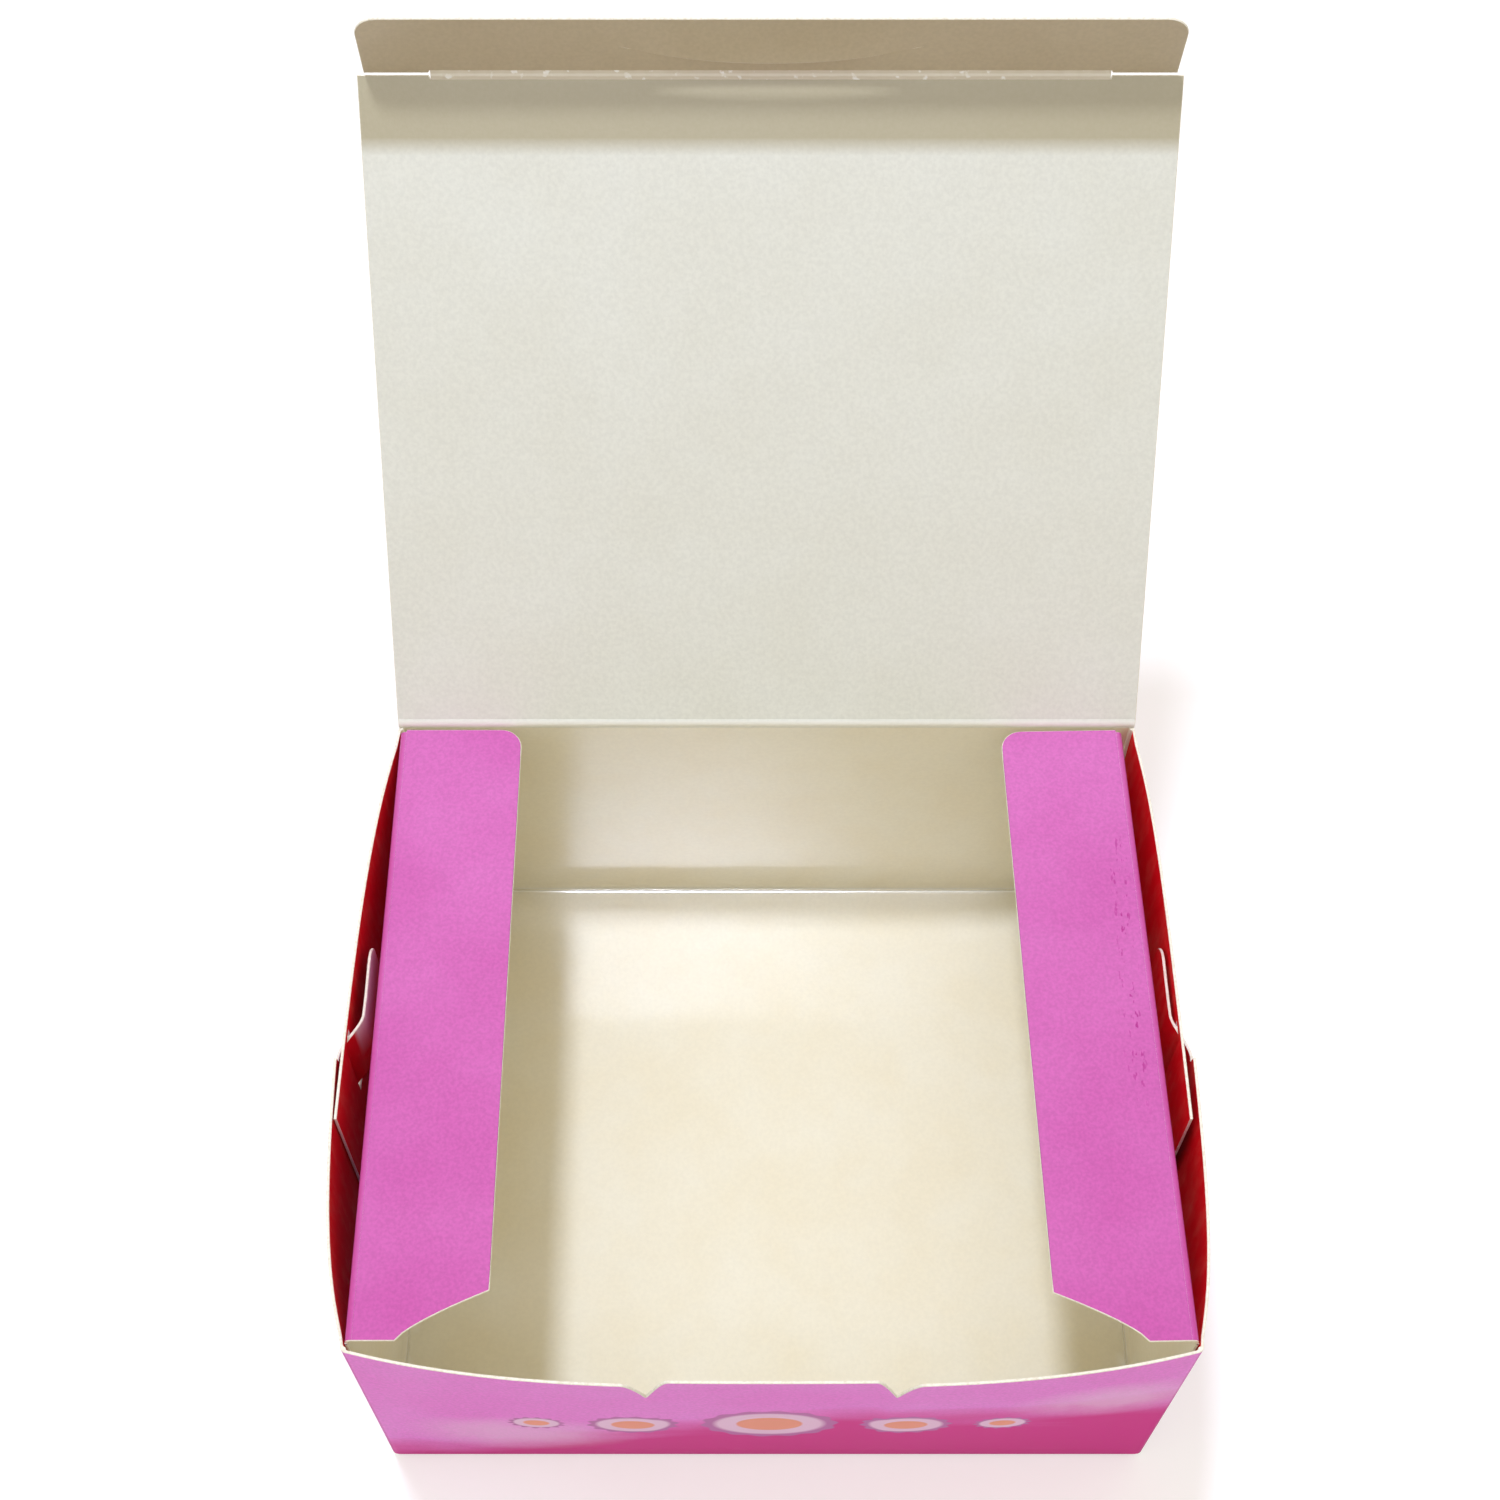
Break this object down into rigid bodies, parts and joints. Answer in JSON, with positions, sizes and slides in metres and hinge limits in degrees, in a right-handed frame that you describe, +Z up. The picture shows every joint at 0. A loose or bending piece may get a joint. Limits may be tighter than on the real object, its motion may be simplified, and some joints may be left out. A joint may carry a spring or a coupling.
{
  "type": "cake slice box",
  "caption": "Folded board cake box standing open: flat bottom, bowed notched front wall, interlocked end flaps, dust flaps and a hinged lid with a tuck flap.",
  "frame": {"origin": "centre of the bottom panel's underside", "axes": "+X along the width, +Y from the notched front wall to the wall that carries the lid, +Z up"},
  "size_m": [0.1514, 0.1956, 0.1778],
  "materials": {
    "printed_board": "rose pink print, glossy coated",
    "cream_board": "uncoated cream, semi-matt"
  },
  "bodies": {
    "tray": {"tray": "printed_board"},
    "lid": {"lid_panel": "cream_board"},
    "tuck": {"tuck_flap": "cream_board"},
    "left_flap": {"left_dust_flap": "printed_board"},
    "right_flap": {"right_dust_flap": "printed_board"}
  },
  "joints": [
    {"name": "lid_hinge", "type": "hinge", "parent": "tray", "child": "lid", "pos_m": [0, 0.06, 0.06705], "axis": [1, 0, 0], "range_deg": [-74, 125.6]},
    {"name": "tuck_hinge", "type": "hinge", "parent": "lid", "child": "tuck", "pos_m": [0, 0.12939, 0.16397], "axis": [1, 0, 0], "range_deg": [-29, 49.2]},
    {"name": "left_flap_hinge", "type": "hinge", "parent": "tray", "child": "left_flap", "pos_m": [-0.06955, -0.05865, 0.06605], "axis": [0, -1, 0], "range_deg": [-20, 170]},
    {"name": "right_flap_hinge", "type": "hinge", "parent": "tray", "child": "right_flap", "pos_m": [0.06955, -0.05865, 0.06605], "axis": [-0.0179, 0.9998, 0], "range_deg": [-20, 170]}
  ],
  "couplings": [
    {"joint": "tuck_hinge", "follows": "lid_hinge", "ratio": 0.39}
  ]
}
